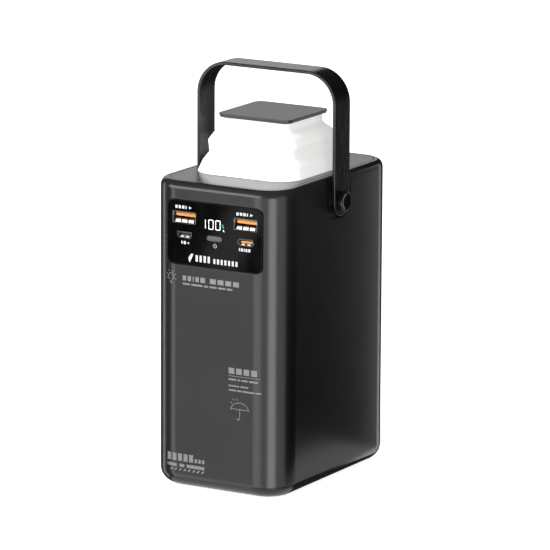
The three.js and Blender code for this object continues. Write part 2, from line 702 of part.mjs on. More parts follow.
function lampInside() {
  const plateTop = LAMP_PLATE.low + LAMP_PLATE.thick;
  const boardLow = plateTop + GAP;
  const boardTop = boardLow + LAMP_BOARD.thick;
  const wireHole = rod('z', LAMP_LEAD.hole, LAMP_PLATE.low - PAST, plateTop + PAST);
  const meshes = [
    node('lamp_reflector', cut(plate(LAMP_PLATE, LAMP_PLATE.low, plateTop, 5), wireHole), 'white'),
    node('lamp_board', plate(LAMP_BOARD, boardLow, boardTop, 3), 'white'),
  ];
  const places = [[1, 1], [-1, 1], [-1, -1], [1, -1]];
  places.forEach(([sx, sy], i) => {
    const { half, thick, chipShare, lensShare } = LED;
    const chip = box(-half, half, -half, half, 0, thick * chipShare);
    const lens = rod('z', half * lensShare, 0, thick, 0, 0, 16);
    const mesh = node(`lamp_led_${i + 1}`, chip.add(lens), 'yellowLed');
    mesh.position.set(sx * LED.x, sy * LED.y, boardTop + GAP);
    meshes.push(mesh);
  });
  return meshes;
}

// ---------------------------------------------------------------- handle and pivots

// everything here is drawn about the pivot axis, which the handle group puts in place
function handleStrap() {
  const top = STRAP_TOP - PIVOT_Z;
  const outline = (inset) => {
    const w = STRAP_OUT - inset;
    const h = top - inset;
    const r = STRAP_BEND - inset;
    return { w, h, r };
  };
  const legLow = -STRAP_W;
  const shape = new THREE.Shape();
  const outer = outline(STRAP_BEVEL);
  const inner = outline(STRAP_T - STRAP_BEVEL);
  shape.moveTo(outer.w, legLow);
  shape.absarc(outer.w - outer.r, outer.h - outer.r, outer.r, 0, Math.PI / 2);
  shape.absarc(-outer.w + outer.r, outer.h - outer.r, outer.r, Math.PI / 2, Math.PI);
  shape.lineTo(-outer.w, legLow);
  shape.lineTo(-inner.w, legLow);
  shape.absarc(-inner.w + inner.r, inner.h - inner.r, inner.r, Math.PI, Math.PI / 2, true);
  shape.absarc(inner.w - inner.r, inner.h - inner.r, inner.r, Math.PI / 2, 0, true);
  shape.lineTo(inner.w, legLow);
  shape.closePath();
  const band = new THREE.ExtrudeGeometry(shape, {
    depth: STRAP_W - 2 * STRAP_BEVEL,
    curveSegments: 10,
    bevelSize: STRAP_BEVEL,
    bevelThickness: STRAP_BEVEL,
    bevelSegments: 1,
  });
  band.translate(0, 0, -STRAP_W / 2 + STRAP_BEVEL);
  band.rotateX(Math.PI / 2);

  // the legs end in a half circle about the pivot
  const profile = new THREE.Shape();
  const half = STRAP_W / 2 + LEG_SLACK;
  profile.moveTo(half, top + PAST);
  profile.lineTo(-half, top + PAST);
  profile.absarc(0, 0, half, Math.PI, Math.PI * 2);
  profile.closePath();
  const envelope = prism('yz', profile, -STRAP_OUT - PAST, STRAP_OUT + PAST, 20);
  const bore = rod('x', PIVOT_HOLE_R, -STRAP_OUT - PAST, STRAP_OUT + PAST);
  return node('handle', cut(toSolid(band).intersect(envelope), bore), 'strapGrey');
}

function lathed(profile, sides) {
  const geometry = new THREE.LatheGeometry(profile.map((p) => new THREE.Vector2(...p)), sides);
  return toSolid(geometry.rotateZ(-Math.PI / 2));
}

// the spacer, screw and cap of the right-hand pivot, drawn about the pivot axis
function pivotPieces(sideName) {
  const headLow = STRAP_OUT + GAP;
  const spacer = cut(
    rod('x', SPACER_R, RECESS_FLOOR + GAP, HALF_W),
    rod('x', PIVOT_HOLE_R, RECESS_FLOOR, HALF_W + PAST),
  );
  const { shank, head, headThick, headChamfer, tip, tipIn, tipLong } = PIVOT_SCREW;
  const headTop = headLow + headThick;
  const screw = lathed([
    [0, tip], [shank - tipIn, tip], [shank, tip + tipLong], [shank, headLow],
    [head, headLow], [head, headTop - headChamfer], [head - headChamfer, headTop], [0, headTop],
  ], 20);
  const { r, thick, pocket, floor, roundStart, roundMid, roundIn } = PIVOT_CAP;
  const face = headLow + thick;
  const cap = lathed([
    [pocket, headLow], [r, headLow], [r, face - roundStart], [r - roundMid, face - roundMid],
    [r - roundIn, face], [0, face], [0, face - floor], [pocket, face - floor], [pocket, headLow],
  ], 28);
  return [
    node(`pivot_spacer_${sideName}`, spacer, 'nylon'),
    node(`pivot_screw_${sideName}`, screw, 'steel'),
    node(`pivot_cap_${sideName}`, cap, 'panelBlack'),
  ];
}

function handleGroup() {
  const right = new THREE.Group();
  right.add(...pivotPieces('right'));
  const left = new THREE.Group();
  left.add(...pivotPieces('left'));
  left.rotation.z = Math.PI;
  const group = new THREE.Group();
  group.position.z = PIVOT_Z;
  group.add(handleStrap(), right, left);
  return group;
}

// ---------------------------------------------------------------- assembly

const powerBank = new THREE.Group();
powerBank.add(
  mainCase(),
  topCover(),
  bottomCover(),
  ...bottomScrews(),
  ...feet(),
  controlPanel(),
  ...ports(),
  powerButton(),
  buttonSwitch(),
  displayModule(),
  mainBoard(),
  ...boardParts(),
  ...cells(),
  ...cellTrays(),
  busStrip('bus_positive', TAB_X),
  busStrip('bus_negative', -TAB_X),
  ...leads(),
  lampDiffuser(),
  lampCap(),
  ...lampInside(),
  handleGroup(),
);

export default powerBank;
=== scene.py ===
import json
import math

import bmesh
import bpy
from mathutils import Matrix, Vector


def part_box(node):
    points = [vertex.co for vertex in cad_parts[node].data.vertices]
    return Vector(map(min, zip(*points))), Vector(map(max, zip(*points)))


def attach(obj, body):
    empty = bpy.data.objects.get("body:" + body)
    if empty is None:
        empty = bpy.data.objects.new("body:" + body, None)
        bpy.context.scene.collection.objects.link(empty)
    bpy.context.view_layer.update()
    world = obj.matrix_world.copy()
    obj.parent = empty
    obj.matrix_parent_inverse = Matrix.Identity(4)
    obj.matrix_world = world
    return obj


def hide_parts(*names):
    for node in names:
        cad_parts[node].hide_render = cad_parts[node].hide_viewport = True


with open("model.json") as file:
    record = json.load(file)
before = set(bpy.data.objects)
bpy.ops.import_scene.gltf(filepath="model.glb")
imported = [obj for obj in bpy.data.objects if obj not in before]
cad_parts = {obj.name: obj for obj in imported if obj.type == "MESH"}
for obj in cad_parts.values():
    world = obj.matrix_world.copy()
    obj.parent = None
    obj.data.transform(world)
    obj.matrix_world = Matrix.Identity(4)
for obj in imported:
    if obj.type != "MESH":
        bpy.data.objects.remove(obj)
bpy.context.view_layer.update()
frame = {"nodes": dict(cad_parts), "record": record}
NODES = frame["nodes"]
MM = 0.001


# ------------------------------------------------------------------ places taken from the frame

def span(node):
    """A CAD node's lowest and highest corner, its centre and its size, in millimetres."""
    low, high = (Vector(corner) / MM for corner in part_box(node))
    return low, high, (low + high) / 2, high - low


CASE_LOW, CASE_HIGH, _, CASE_SIZE = span("main_case")
PANEL_LOW, PANEL_HIGH, PANEL_MID, PANEL_SIZE = span("control_panel")
COVER_LOW, COVER_HIGH, _, COVER_SIZE = span("top_cover")
BASE_LOW, BASE_HIGH, _, BASE_SIZE = span("bottom_cover")
SHADE_LOW, SHADE_HIGH, _, SHADE_SIZE = span("lamp_diffuser")
CAP_LOW, CAP_HIGH, _, CAP_SIZE = span("lamp_cap")
STRAP_LOW, STRAP_HIGH, _, STRAP_SIZE = span("handle")
BUTTON_LOW, BUTTON_HIGH, BUTTON_MID, _ = span("power_button")

GAP = 0.3                       # clearance between neighbouring pieces
PAST = 1.0                      # a cutting solid runs this far past the face it opens
BITE = 0.4                      # joined solids run this far into each other

HALF_W = CASE_SIZE.x / 2
HALF_D = CASE_SIZE.y / 2
FRONT = CASE_LOW.y
CORNER_R = 16.0
WALL = 2.4
BOTTOM_ROUND = 7.9
TOP_ROUND_IN = 3.1
TOP_ROUND_DOWN = 4.3
PANEL_FACE = PANEL_LOW.y
PANEL_BACK = PANEL_HIGH.y
PANEL_R = 3.1
LIP_ROUND = 0.45
LIP_STEPS = 4
COVER_R = 11.8
BASE_R = 7.0
PIVOT_Z = STRAP_LOW.z + STRAP_SIZE.y / 2
RECESS = {"depth": 1.5, "half": 12.2, "below": 9.0, "r": 9.0}
PIVOT_HOLE_R = 2.3
LEDGE = 2.6                     # width of the rims that carry the two covers
BOTTOM_LEDGE_THICK = 3.4
PANEL_FRAME = {"wider": 1.9, "back": 4.2, "ledge": 2.5}
PIVOT_BOSS = {"inner": 29.0, "half": 6.5}
SCREW_TAB_R = 3.8
SHANK_WAY_R = 1.4
SCREW_HEAD = {"thick": 1.2, "play": 0.2}
LEAD_HOLE_R = 2.6
FOOT_ROUND = 0.6
FOOT_GROOVE = 0.18
QUARTER = (0.4, 0.8, 1.2, 1.57)  # steps round a quarter turn, in radians


# ------------------------------------------------------------------ outlines and solids

def arc(cx, cy, r, start, end, steps):
    """Points along an arc, its two ends included. Angles are in degrees."""
    for i in range(steps + 1):
        angle = math.radians(start + (end - start) * i / steps)
        yield cx + r * math.cos(angle), cy + r * math.sin(angle)


def rounded_rect(half_w, half_h, r, cx=0.0, cy=0.0, steps=10):
    """A rounded rectangle's outline, counter-clockwise."""
    points = []
    for quarter, (sx, sy) in enumerate(((1, 1), (-1, 1), (-1, -1), (1, -1))):
        start = 90 * quarter
        points += arc(cx + sx * (half_w - r), cy + sy * (half_h - r), r, start, start + 90, steps)
    return points


def new_object(name, vertices, faces):
    mesh = bpy.data.meshes.new(name)
    mesh.from_pydata([Vector(v) * MM for v in vertices], [], faces)
    mesh.update()
    obj = bpy.data.objects.new(name, mesh)
    bpy.context.scene.collection.objects.link(obj)
    return obj


def tidy_mesh(obj):
    """Welds doubled points and turns every face outwards."""
    bm = bmesh.new()
    bm.from_mesh(obj.data)
    bmesh.ops.remove_doubles(bm, verts=bm.verts, dist=1e-6)
    bmesh.ops.recalc_face_normals(bm, faces=bm.faces)
    bm.to_mesh(obj.data)
    bm.free()
    return obj


def skin(name, rings):
    """A closed skin through rings that hold the same number of points, with a flat face at each end."""
    count = len(rings[0])
    vertices = [point for ring in rings for point in ring]
    faces = [tuple(reversed(range(count)))]
    for level in range(len(rings) - 1):
        for i in range(count):
            j = (i + 1) % count
            low, high = level * count, (level + 1) * count
            faces.append((low + i, low + j, high + j, high + i))
    faces.append(tuple(range(len(vertices) - count, len(vertices))))
    return tidy_mesh(new_object(name, vertices, faces))


def plate(name, half_x, half_y, r, low, high, steps=12):
    outline = rounded_rect(half_x, half_y, r, steps=steps)
    return skin(name, [[(x, y, z) for x, y in outline] for z in (low, high)])


def prism(name, plane, outline, low, high):
    """Extrudes an outline. Its plane is 'xz' or 'yz', and low to high runs along the third axis."""
    if plane == "xz":
        rings = [[(u, depth, v) for u, v in outline] for depth in (low, high)]
    else:
        rings = [[(depth, u, v) for u, v in outline] for depth in (low, high)]
    return skin(name, rings)


def rod(name, axis, r, low, high, u=0.0, v=0.0, sides=48):
    """A cylinder along the axis, centred on the two other coordinates."""
    ring = list(arc(u, v, r, 0, 360 - 360 / sides, sides - 1))
    place = {
        "x": lambda d, a, b: (d, a, b),
        "y": lambda d, a, b: (a, d, b),
        "z": lambda d, a, b: (a, b, d),
    }
    return skin(name, [[place[axis](d, a, b) for a, b in ring] for d in (low, high)])


def block(name, x0, x1, y0, y1, z0, z1):
    return skin(name, [[(x0, y0, z), (x1, y0, z), (x1, y1, z), (x0, y1, z)] for z in (z0, z1)])


def turned(name, profile, axis, centre, sides=64):
    """A solid turned about an axis through centre. The profile is (radius, along) from axis to axis."""
    vertices, faces, rows = [], [], []
    for r, along in profile:
        if r < 1e-6:
            rows.append([len(vertices)] * sides)
            vertices.append((0.0, 0.0, along))
            continue
        rows.append(list(range(len(vertices), len(vertices) + sides)))
        turn = 2 * math.pi / sides
        vertices += [(r * math.cos(turn * i), r * math.sin(turn * i), along) for i in range(sides)]
    for low, high in zip(rows, rows[1:]):
        for i in range(sides):
            j = (i + 1) % sides
            face = tuple(dict.fromkeys((low[i], low[j], high[j], high[i])))
            if len(face) > 2:
                faces.append(face)
    obj = new_object(name, vertices, faces)
    to_axis = Vector((0, 0, 1)).rotation_difference(Vector(axis)).to_matrix().to_4x4()
    obj.data.transform(Matrix.Translation(Vector(centre) * MM) @ to_axis)
    return tidy_mesh(obj)


def bake(obj):
    """Makes the result of the object's modifiers its mesh."""
    graph = bpy.context.evaluated_depsgraph_get()
    mesh = bpy.data.meshes.new_from_object(obj.evaluated_get(graph))
    obj.modifiers.clear()
    obj.data = mesh
    return obj


def boolean(obj, operation, tools):
    for tool in tools:
        modifier = obj.modifiers.new(operation, "BOOLEAN")
        modifier.operation = operation
        modifier.solver = "EXACT"
        modifier.object = tool
        bake(obj)
        bpy.data.objects.remove(tool)
    return obj


def cut(obj, *tools):
    return boolean(obj, "DIFFERENCE", tools)


def joined(obj, *tools):
    return boolean(obj, "UNION", tools)


def soften(obj, width, segments=3, angle=32):
    """Rounds the sharp edges, and shades flat faces flat and round ones round."""
    bevel = obj.modifiers.new("edges", "BEVEL")
    bevel.width = width * MM
    bevel.segments = segments
    bevel.limit_method = "ANGLE"
    bevel.angle_limit = math.radians(angle)
    bevel.use_clamp_overlap = True
    bevel.harden_normals = True
    obj.data.shade_smooth()
    weighted = obj.modifiers.new("shading", "WEIGHTED_NORMAL")
    weighted.keep_sharp = True
    return bake(obj)


def finished(obj, body, slot, material, *replaced):
    obj.data.materials.clear()
    obj.data.materials.append(material)
    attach(obj, body)
    if replaced:
        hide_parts(*replaced)
    return obj


# ------------------------------------------------------------------ materials

class Finish:
    """A node material. Its noises, ramps and bumps are worked out from places on the object."""

    def __init__(self, name, colour, roughness, metallic=0.0, **sockets):
        self.material = bpy.data.materials.new(name)
        self.material.use_nodes = True
        self.tree = self.material.node_tree
        self.shader = next(n for n in self.tree.nodes if n.type == "BSDF_PRINCIPLED")
        self.put("Base Color", (*colour, 1))
        self.put("Roughness", roughness)
        self.put("Metallic", metallic)
        for socket, value in sockets.items():
            self.put(socket.replace("_", " "), value)
        self.place = self.add("TexCoord").outputs["Object"]

    def put(self, socket, value):
        self.shader.inputs[socket].default_value = value

    def add(self, kind, **settings):
        node = self.tree.nodes.new("ShaderNode" + kind)
        for key, value in settings.items():
            setattr(node, key, value)
        return node

    def wire(self, out, into):
        self.tree.links.new(out, into)

    def stretched(self, scale):
        mapping = self.add("Mapping")
        mapping.inputs["Scale"].default_value = scale
        self.wire(self.place, mapping.inputs["Vector"])
        return mapping.outputs["Vector"]

    def noise(self, per_mm, detail=2.0, stretch=None):
        noise = self.add("TexNoise")
        noise.inputs["Scale"].default_value = per_mm / MM
        noise.inputs["Detail"].default_value = detail
        self.wire(self.stretched(stretch) if stretch else self.place, noise.inputs["Vector"])
        return noise.outputs["Fac"]

    def cells(self, per_mm):
        voronoi = self.add("TexVoronoi")
        voronoi.inputs["Scale"].default_value = per_mm / MM
        self.wire(self.place, voronoi.inputs["Vector"])
        return voronoi.outputs["Distance"]

    def ranged(self, value, low, high):
        remap = self.add("MapRange")
        remap.inputs["From Min"].default_value = 0.3
        remap.inputs["From Max"].default_value = 0.7
        remap.inputs["To Min"].default_value = low
        remap.inputs["To Max"].default_value = high
        self.wire(value, remap.inputs["Value"])
        return remap.outputs["Result"]

    def vary_roughness(self, value, low, high):
        self.wire(self.ranged(value, low, high), self.shader.inputs["Roughness"])
        return self

    def vary_colour(self, value, first, second):
        ramp = self.add("ValToRGB")
        ramp.color_ramp.elements[0].position = 0.3
        ramp.color_ramp.elements[1].position = 0.7
        ramp.color_ramp.elements[0].color = (*first, 1)
        ramp.color_ramp.elements[1].color = (*second, 1)
        self.wire(value, ramp.inputs["Fac"])
        self.wire(ramp.outputs["Color"], self.shader.inputs["Base Color"])
        return self

    def bump(self, value, depth_mm, strength=1.0):
        bump = self.add("Bump")
        bump.inputs["Strength"].default_value = strength
        bump.inputs["Distance"].default_value = depth_mm * MM
        self.wire(value, bump.inputs["Height"])
        self.wire(bump.outputs["Normal"], self.shader.inputs["Normal"])
        return self


def grey(value, tint=0.0):
    """A linear grey, a little bluer with tint."""
    return value, value * (1 + tint / 2), value * (1 + tint)


def moulded(name, level, rough, tint=0.06, grain=3.0, depth=0.012, **sockets):
    """Satin moulded plastic with a fine spark-eroded grain."""
    finish = Finish(name, grey(level, tint), rough, **sockets)
    finish.vary_colour(finish.noise(grain, 2), grey(level * 0.94, tint), grey(level * 1.06, tint))
    finish.vary_roughness(finish.noise(0.03, 2), rough - 0.008, rough + 0.008)
    finish.bump(finish.noise(grain, 2), depth, 0.35)
    return finish.material


def polished(name, colour, rough, **sockets):
    """Glossy plastic or lacquer with faint wiping marks."""
    finish = Finish(name, colour, rough, **sockets)
    finish.vary_roughness(finish.noise(0.2, 5, stretch=(1, 1, 0.3)), rough, rough + 0.04)
    finish.bump(finish.noise(0.08, 2), 0.004, 0.3)
    return finish.material


def metal(name, level, rough, stretch=(1, 1, 1), tint=0.0, colour=None, depth=0.004):
    """Metal with fine drawn lines along the short side of stretch."""
    base = colour or grey(level, tint)
    finish = Finish(name, base, rough, metallic=1.0)
    lines = finish.noise(4.0, 4, stretch=stretch)
    dark = tuple(channel * 0.85 for channel in base)
    finish.vary_colour(lines, dark, base)
    finish.vary_roughness(lines, rough - 0.05, rough + 0.08)
    finish.bump(lines, depth, 0.4)
    return finish.material


def brushed(name, level, rough):
    """Black strap with fine lines that run along its legs and its crossbar."""
    finish = Finish(name, grey(level), rough)
    lines = finish.noise(1.6, 3, stretch=(0.03, 1, 0.03))
    finish.vary_colour(lines, grey(level * 0.7), grey(level * 1.2))
    finish.vary_roughness(lines, rough - 0.05, rough + 0.06)
    finish.bump(lines, 0.02, 0.5)
    return finish.material


def coloured_plastic(name, colour, rough=0.45):
    finish = Finish(name, colour, rough)
    finish.vary_colour(finish.noise(0.6, 3), tuple(c * 0.92 for c in colour), colour)
    finish.vary_roughness(finish.noise(1.5, 3), rough - 0.04, rough + 0.06)
    finish.bump(finish.noise(6.0, 2), 0.004, 0.4)
    return finish.material


def rubbery(name, colour, rough=0.8):
    finish = Finish(name, colour, rough)
    finish.vary_colour(finish.noise(0.8, 3), tuple(c * 0.85 for c in colour), colour)
    finish.vary_roughness(finish.noise(2.0, 3), rough - 0.06, rough + 0.06)
    finish.bump(finish.cells(2.4), 0.03, 0.5)
    return finish.material


def printed_board():
    """Green solder mask over a maze of fine traces."""
    finish = Finish("circuit_board", (0.02, 0.16, 0.06), 0.35)
    finish.vary_colour(finish.cells(0.5), (0.012, 0.09, 0.035), (0.03, 0.2, 0.08))
    finish.vary_roughness(finish.noise(1.0, 3), 0.28, 0.42)
    finish.bump(finish.cells(0.5), 0.03, 0.6)
    return finish.material


def pouch_foil():
    """Crinkled laminate foil."""
    finish = Finish("cell_foil", (0.62, 0.64, 0.66), 0.3, metallic=0.9)
    finish.vary_colour(finish.noise(0.1, 3), (0.55, 0.57, 0.6), (0.66, 0.68, 0.7))
    finish.vary_roughness(finish.noise(0.5, 4), 0.24, 0.4)
    finish.bump(finish.noise(0.18, 4, stretch=(1, 1, 0.4)), 0.3, 0.5)
    return finish.material


def lamp_plastic():
    """White diffusing plastic with the lamp's glow in it, a little milky inside."""
    finish = Finish("lamp_plastic", (0.8, 0.8, 0.79), 0.38, Emission_Color=(1, 0.995, 0.98, 1))
    finish.put("Emission Strength", LAMP_GLOW)
    finish.vary_colour(finish.noise(0.06, 2), (0.78, 0.78, 0.77), (0.82, 0.82, 0.81))
    finish.vary_roughness(finish.noise(0.3, 3), 0.34, 0.44)
    finish.bump(finish.noise(1.2, 3), 0.01, 0.4)
    return finish.material


def glowing(name, colour, strength):
    finish = Finish(name, colour, 0.4, Emission_Color=(*colour, 1), Emission_Strength=strength)
    finish.vary_roughness(finish.noise(2.0, 2), 0.35, 0.45)
    return finish.material


def ink(name, level):
    """Screen-printed ink, slightly uneven in cover."""
    finish = Finish(name, grey(level), 0.5)
    finish.vary_colour(finish.noise(1.5, 4), grey(level * 0.82), grey(level))
    finish.vary_roughness(finish.noise(3.0, 3), 0.42, 0.58)
    finish.bump(finish.noise(8.0, 2), 0.003, 0.4)
    return finish.material


LAMP_GLOW = 0.5
LOOKS = {
    "case": moulded("case_plastic", 0.016, 0.235),
    "cover": moulded("cover_plastic", 0.018, 0.26, grain=3.6, depth=0.008),
    "lamp_cap": moulded("lamp_cap_plastic", 0.045, 0.34),
    "panel": polished("panel_gloss", grey(0.001), 0.07, Specular_IOR_Level=0.4),
    "button": moulded("button_plastic", 0.085, 0.45, tint=-0.03),
    # the cans' metal, kept darker than the springs' brighter copy of it
    "port_metal": metal("port_plate", 0.45, 0.3, stretch=(0.2, 1, 1)),
    "port_insert": coloured_plastic("insert_orange", (0.95, 0.36, 0.07)),
    "port_insert_black": coloured_plastic("insert_black", (0.02, 0.02, 0.02)),
    "strap": brushed("strap_plastic", 0.009, 0.24),
    "pivot_cap": polished("pivot_gloss", grey(0.006), 0.12),
    "screw": metal("screw_steel", 0.55, 0.3),
    "spacer": coloured_plastic("nylon", (0.65, 0.64, 0.6)),
    "foot": rubbery("foot_rubber", (0.02, 0.02, 0.02)),
    "diffuser": lamp_plastic(),
    "reflector": coloured_plastic("reflector_white", (0.9, 0.9, 0.88)),
    "led": glowing("led_phosphor", (0.95, 0.8, 0.4), 1.5),
    "circuit_board": printed_board(),
    "chip": coloured_plastic("chip_epoxy", (0.02, 0.02, 0.022)),
    "ferrite": rubbery("ferrite", (0.06, 0.06, 0.065), 0.6),
    "capacitor": metal("capacitor_can", 0.6, 0.35, stretch=(1, 0.2, 1)),
    "cell": pouch_foil(),
    "tray": moulded("tray_plastic", 0.03, 0.5),
    "bus": metal("nickel_strip", 0.6, 0.3, stretch=(1, 0.1, 1), colour=(0.6, 0.58, 0.53)),
    "lead_red": rubbery("insulation_red", (0.4, 0.01, 0.01), 0.5),
    "lead_black": rubbery("insulation_black", (0.012, 0.012, 0.012), 0.5),
    "lead_white": rubbery("insulation_white", (0.8, 0.8, 0.78), 0.5),
}
WHITE_INK = ink("panel_ink", 0.85)
GREY_INK = ink("front_ink", 0.26)
# A brighter copy of the cans' metal for the springs: a painted highlight on them
SPRING_METAL_PAINTED_BRIGHT = metal("spring_metal_painted_highlight", 0.85, 0.42, stretch=(0.3, 1, 1))
GOLD = metal("contact_gold", 0.7, 0.25, colour=(0.85, 0.6, 0.25))
DIGITS = glowing("display_white", (1.0, 1.0, 1.0), 0.9)
GREEN = glowing("display_green", (0.05, 0.5, 0.18), 0.35)


def dress_cad_nodes():
    """Every CAD node gets its slot's finish, whether or not it shows."""
    for part in frame["record"]["subparts"]:
        node = NODES[part["node"]]
        node.data.materials.clear()
        node.data.materials.append(LOOKS[part["material_slot"]])


# ------------------------------------------------------------------ body

def rounded_body():
    rings = []
    for i in range(13):
        a = math.radians(90 * i / 12)
        rings.append((BOTTOM_ROUND * (1 - math.sin(a)), CASE_LOW.z + BOTTOM_ROUND * (1 - math.cos(a))))
    for i in range(10, -1, -1):
        a = math.radians(90 * i / 10)
        rings.append((TOP_ROUND_IN * (1 - math.sin(a)), CASE_HIGH.z - TOP_ROUND_DOWN * (1 - math.cos(a))))
    return skin("case_shell", [
        [(x, y, z) for x, y in rounded_rect(HALF_W - inset, HALF_D - inset, CORNER_R - inset, steps=16)]
        for inset, z in rings
    ])


def recess_outline():
    low = PIVOT_Z - RECESS["below"]
    half, r = RECESS["half"], RECESS["r"]
    points = [(half, CASE_HIGH.z + PAST), (-half, CASE_HIGH.z + PAST)]
    points += arc(-half + r, low + r, r, 180, 270, 14)
    points += arc(half - r, low + r, r, 270, 360, 14)
    return points


def panel_outline(by):
    return rounded_rect(
        PANEL_SIZE.x / 2 + by, PANEL_SIZE.z / 2 + by, PANEL_R + by, PANEL_MID.x, PANEL_MID.z,
    )


def panel_lip():
    """A flared cutter that rounds the case's edge round the panel."""
    steps = [math.radians(90 * i / LIP_STEPS) for i in range(LIP_STEPS + 1)]
    rings = [(GAP + LIP_ROUND, FRONT - PAST)]
    rings += [(GAP + LIP_ROUND * (1 - math.sin(a)), FRONT + LIP_ROUND * (1 - math.cos(a))) for a in steps]
    return skin("lip", [[(x, y, z) for x, z in panel_outline(by)] for by, y in rings])


def grown(sizes, by):
    """Half sizes and a corner radius, each grown by some distance."""
    return [size + by for size in sizes]


def build_case():
    bottom_ledge_top = BASE_HIGH.z + GAP + BOTTOM_LEDGE_THICK
    cavity_top = COVER_LOW.z - GAP - WALL
    frame_back = FRONT + PANEL_FRAME["back"]
    above, below = CASE_HIGH.z + PAST, CASE_LOW.z - PAST
    top = (COVER_SIZE.x / 2, COVER_SIZE.y / 2, COVER_R)
    base = (BASE_SIZE.x / 2, BASE_SIZE.y / 2, BASE_R)
    case = cut(
        rounded_body(),
        plate("hollow", HALF_W - WALL, HALF_D - WALL, CORNER_R - WALL, bottom_ledge_top, cavity_top),
        plate("top_way", *grown(top, -LEDGE), cavity_top - PAST, above),
        plate("top_seat", *grown(top, GAP), COVER_LOW.z - GAP, above),
        plate("base_way", *grown(base, -LEDGE), below, bottom_ledge_top + PAST),
        plate("base_seat", *grown(base, GAP), below, BASE_HIGH.z + GAP),
    )
    frame_outline = panel_outline(PANEL_FRAME["wider"])
    case = joined(case, prism("frame", "xz", frame_outline, FRONT + WALL - BITE, frame_back))
    case = cut(
        case,
        prism("panel_seat", "xz", panel_outline(GAP), FRONT - PAST, PANEL_BACK + GAP),
        panel_lip(),
        prism("panel_way", "xz", panel_outline(-PANEL_FRAME["ledge"]), FRONT - PAST, frame_back + PAST),
    )
    for side in (1, -1):
        floor = side * (HALF_W - RECESS["depth"])
        outside = side * (HALF_W + PAST)
        boss_end = side * PIVOT_BOSS["inner"]
        in_wall = side * (HALF_W - WALL + BITE)
        half = PIVOT_BOSS["half"]
        boss = block("boss", *sorted((boss_end, in_wall)), -half, half, PIVOT_Z - half, PIVOT_Z + half)
        case = joined(case, boss)
        case = cut(
            case,
            prism("recess", "yz", recess_outline(), *sorted((floor, outside))),
            rod("bore", "x", PIVOT_HOLE_R, *sorted((boss_end + side * PAST, outside)), 0, PIVOT_Z),
        )
    for i in range(1, 5):
        middle = span(f"bottom_screw_{i}")[2]
        tab = rod("tab", "z", SCREW_TAB_R, BASE_HIGH.z + GAP, bottom_ledge_top, middle.x, middle.y)
        bore = rod("bore", "z", SHANK_WAY_R, CASE_LOW.z, bottom_ledge_top + PAST, middle.x, middle.y)
        case = cut(joined(case, tab), bore)
    case = soften(weld(case), 0.32)
    finished(case, "housing", "case", LOOKS["case"], "main_case")


def weld(obj, distance_mm=0.04):
    """Merges the slivers that a cut leaves, so that the edges round evenly."""
    bm = bmesh.new()
    bm.from_mesh(obj.data)
    bmesh.ops.remove_doubles(bm, verts=bm.verts, dist=distance_mm * MM)
    bmesh.ops.dissolve_degenerate(bm, edges=bm.edges, dist=distance_mm * MM)
    bm.to_mesh(obj.data)
    bm.free()
    return obj


def build_top_cover():
    cover = plate("top_plate", COVER_SIZE.x / 2, COVER_SIZE.y / 2, COVER_R, COVER_LOW.z, COVER_HIGH.z, 20)
    cover = cut(cover, rod("lead_hole", "z", LEAD_HOLE_R, COVER_LOW.z - PAST, COVER_HIGH.z + PAST))
    finished(soften(cover, 0.25), "housing", "cover", LOOKS["cover"], "top_cover")


def build_base():
    base = plate("base_plate", BASE_SIZE.x / 2, BASE_SIZE.y / 2, BASE_R, BASE_LOW.z, BASE_HIGH.z, 16)
    for i in range(1, 5):
        _, high, middle, size = span(f"rubber_foot_{i}")
        base = cut(base, rod("foot_seat", "z", size.x / 2 + GAP, 0, high.z + GAP, middle.x, middle.y))
        low, _, middle, size = span(f"bottom_screw_{i}")
        head_top = low.z + SCREW_HEAD["thick"] + SCREW_HEAD["play"]
        base = cut(
            base,
            rod("shank_way", "z", SHANK_WAY_R, 0, BASE_HIGH.z + PAST, middle.x, middle.y),
            rod("head_way", "z", size.x / 2 + GAP, 0, head_top, middle.x, middle.y),
        )
    finished(soften(base, 0.18), "housing", "cover", LOOKS["cover"], "bottom_cover")


def build_feet():
    for i in range(1, 5):
        node = f"rubber_foot_{i}"
        low, _, middle, size = span(node)
        r, tall, edge = size.x / 2, size.z, FOOT_ROUND
        profile = [(0, 0.0), (r * 0.42, 0.0), (r * 0.46, FOOT_GROOVE), (r * 0.54, FOOT_GROOVE)]
        profile += [(r * 0.58, 0.0), (r - edge, 0.0)]
        profile += [(r - edge + edge * math.sin(a), edge - edge * math.cos(a)) for a in QUARTER]
        profile += [(r, tall), (0, tall)]
        foot = turned(f"foot_pad_{i}", profile, (0, 0, 1), (middle.x, middle.y, low.z))
        finished(soften(foot, 0.05, 2), "housing", "foot", LOOKS["foot"], node)


# ------------------------------------------------------------------ control panel

# Each port's corner radius, depth, and tongue: half its width, and its lowest and highest point
# from the can's middle.
USB_A = {"r": 0.5, "depth": 12, "tongue": (5.5, 0.35, 2.15), "contacts": 4}
PORTS = {
    "usb_a_left": USB_A,
    "usb_a_right": USB_A,
    "usb_c": {"r": 1.6, "depth": 6.5, "tongue": (3.2, -0.35, 0.35), "contacts": 8},
    "micro_usb": {"r": 0.0, "depth": 6.5, "tongue": (2.3, -0.1, 0.5), "contacts": 5},
}
PORT_WALL = 0.3
TONGUE_BLOCK = 1.6              # thickness of the block at the back of each can
BUTTON_HALF = {"w": 4.4, "h": 1.35}
BUTTON_ROUND = 0.45
FLANGE = {"half_w": 5.6, "half_h": 2.35, "r": 1.5, "thick": 1}
STEM_R = 1.2
DISPLAY_WAY = {"half_w": 8.8, "half_h": 4.7, "r": 0.5, "z": 137.2, "cover": 0.8}
LIP = 0.14                      # how thick a can's edge is at its mouth
LIP_DEEP = 0.9                  # how far in the can has its full thickness


